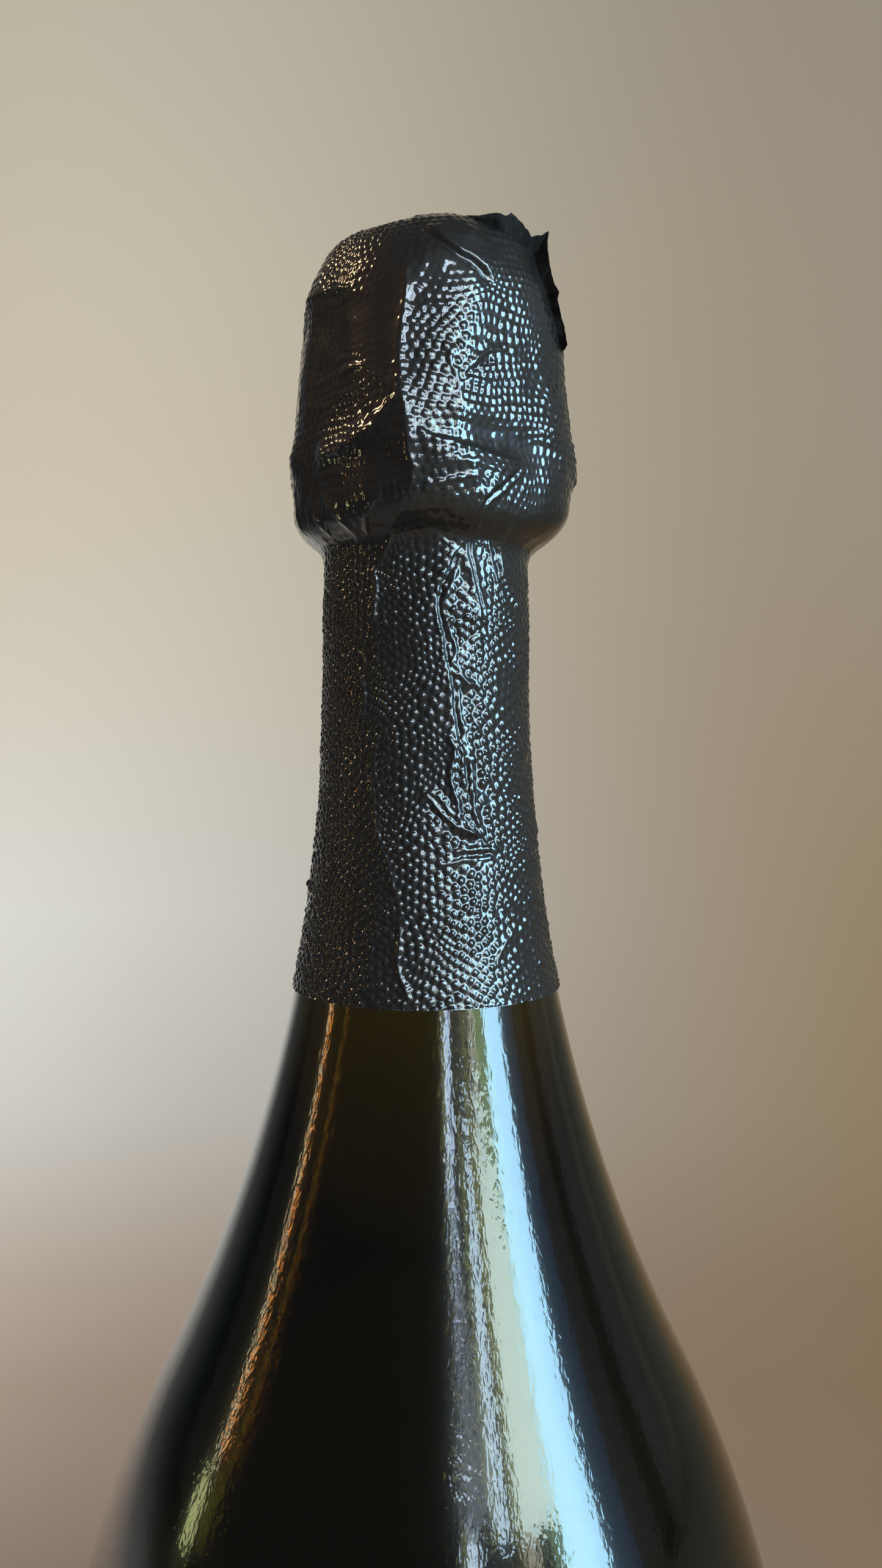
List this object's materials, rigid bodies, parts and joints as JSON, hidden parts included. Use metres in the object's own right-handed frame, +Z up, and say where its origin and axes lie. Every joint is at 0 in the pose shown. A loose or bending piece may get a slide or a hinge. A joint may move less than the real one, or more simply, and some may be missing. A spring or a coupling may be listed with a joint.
{
  "type": "sparkling wine bottle",
  "caption": "Corked sparkling wine bottle of dark glass, with sloping shoulders, a deep punt and an embossed foil capsule over cork and neck.",
  "frame": {"origin": "on the bottle's axis, in the plane of the foot ring that it stands on", "axes": "+Z up along the bottle's axis; -Y is the front, where the ridge over one leg of the wire cage is 11 degrees to the left"},
  "size_m": [0.098, 0.098, 0.304],
  "materials": {
    "bottle_glass": "dark olive glass, fire polished",
    "wine": "clear pale gold liquid",
    "cork": "agglomerated cork, matt",
    "capsule_foil": "black lacquered foil with a pebbled embossing"
  },
  "bodies": {
    "root": {"bottle": "bottle_glass", "wine": "wine", "closure": "cork", "foil_capsule": "capsule_foil"}
  },
  "joints": []
}
